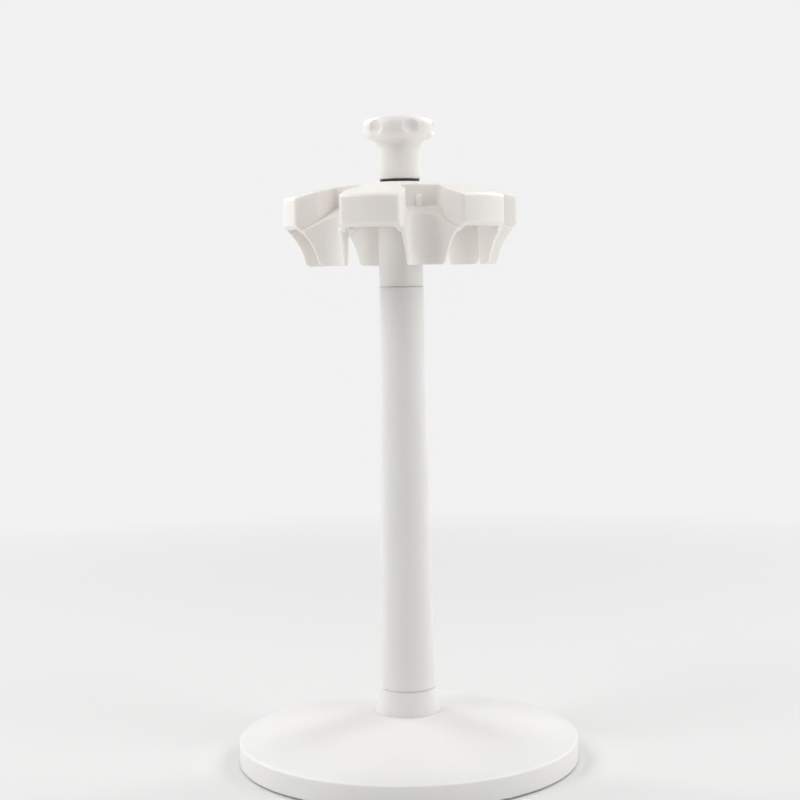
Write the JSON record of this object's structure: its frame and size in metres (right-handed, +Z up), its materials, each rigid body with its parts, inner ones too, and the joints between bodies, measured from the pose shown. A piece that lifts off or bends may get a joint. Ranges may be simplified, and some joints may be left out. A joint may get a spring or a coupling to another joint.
{
  "type": "pipette carousel stand",
  "caption": "Turning carousel on a tapered column with a heavy round domed base, pockets between hollow arms that each hold a pipette upright, and a screw-on knob on top.",
  "frame": {"origin": "centre of the base on the plane its pads rest on", "axes": "+Z up along the column, -Y towards the front"},
  "size_m": [0.18, 0.18, 0.3393],
  "materials": {
    "base_cover": "satin",
    "ballast_disc": "matte",
    "base_plate": "matte",
    "base_screws": "satin",
    "foot_pads": "matte",
    "column_tube": "satin",
    "column_insert": "satin",
    "column_bolt": "satin",
    "bolt_washer": "satin",
    "spring_washer": "satin",
    "bearing_housing": "satin",
    "lower_bush": "satin",
    "upper_bush": "satin",
    "thrust_washer": "satin",
    "spindle": "satin",
    "retaining_clip": "satin",
    "carousel": "satin",
    "rubber_ring": "satin",
    "knob": "satin",
    "knob_insert": "satin"
  },
  "bodies": {
    "stand": {"base_cover": "base_cover", "ballast_disc": "ballast_disc", "base_plate": "base_plate", "base_screws": "base_screws", "foot_pads": "foot_pads", "column_tube": "column_tube", "column_insert": "column_insert", "column_bolt": "column_bolt", "bolt_washer": "bolt_washer", "spring_washer": "spring_washer", "bearing_housing": "bearing_housing", "lower_bush": "lower_bush", "upper_bush": "upper_bush", "thrust_washer": "thrust_washer"},
    "rotor": {"spindle": "spindle", "retaining_clip": "retaining_clip", "carousel": "carousel"},
    "ring": {"rubber_ring": "rubber_ring"},
    "knob": {"knob": "knob", "knob_insert": "knob_insert"}
  },
  "joints": [
    {"name": "carousel_spin", "type": "hinge", "parent": "stand", "child": "rotor", "pos_m": [0, 0, 0.28], "axis": [0, 0, 1], "continuous": true},
    {"name": "knob_rise", "type": "slide", "parent": "rotor", "child": "ring", "axis": [0, 0, 1], "range_m": [0, 0.0101]},
    {"name": "knob_turn", "type": "hinge", "parent": "ring", "child": "knob", "pos_m": [0, 0, 0.31], "axis": [0, 0, 1], "range_deg": [0, 2880]}
  ],
  "couplings": [
    {"joint": "knob_rise", "follows": "knob_turn", "m_per_rad": 0.00019894}
  ]
}
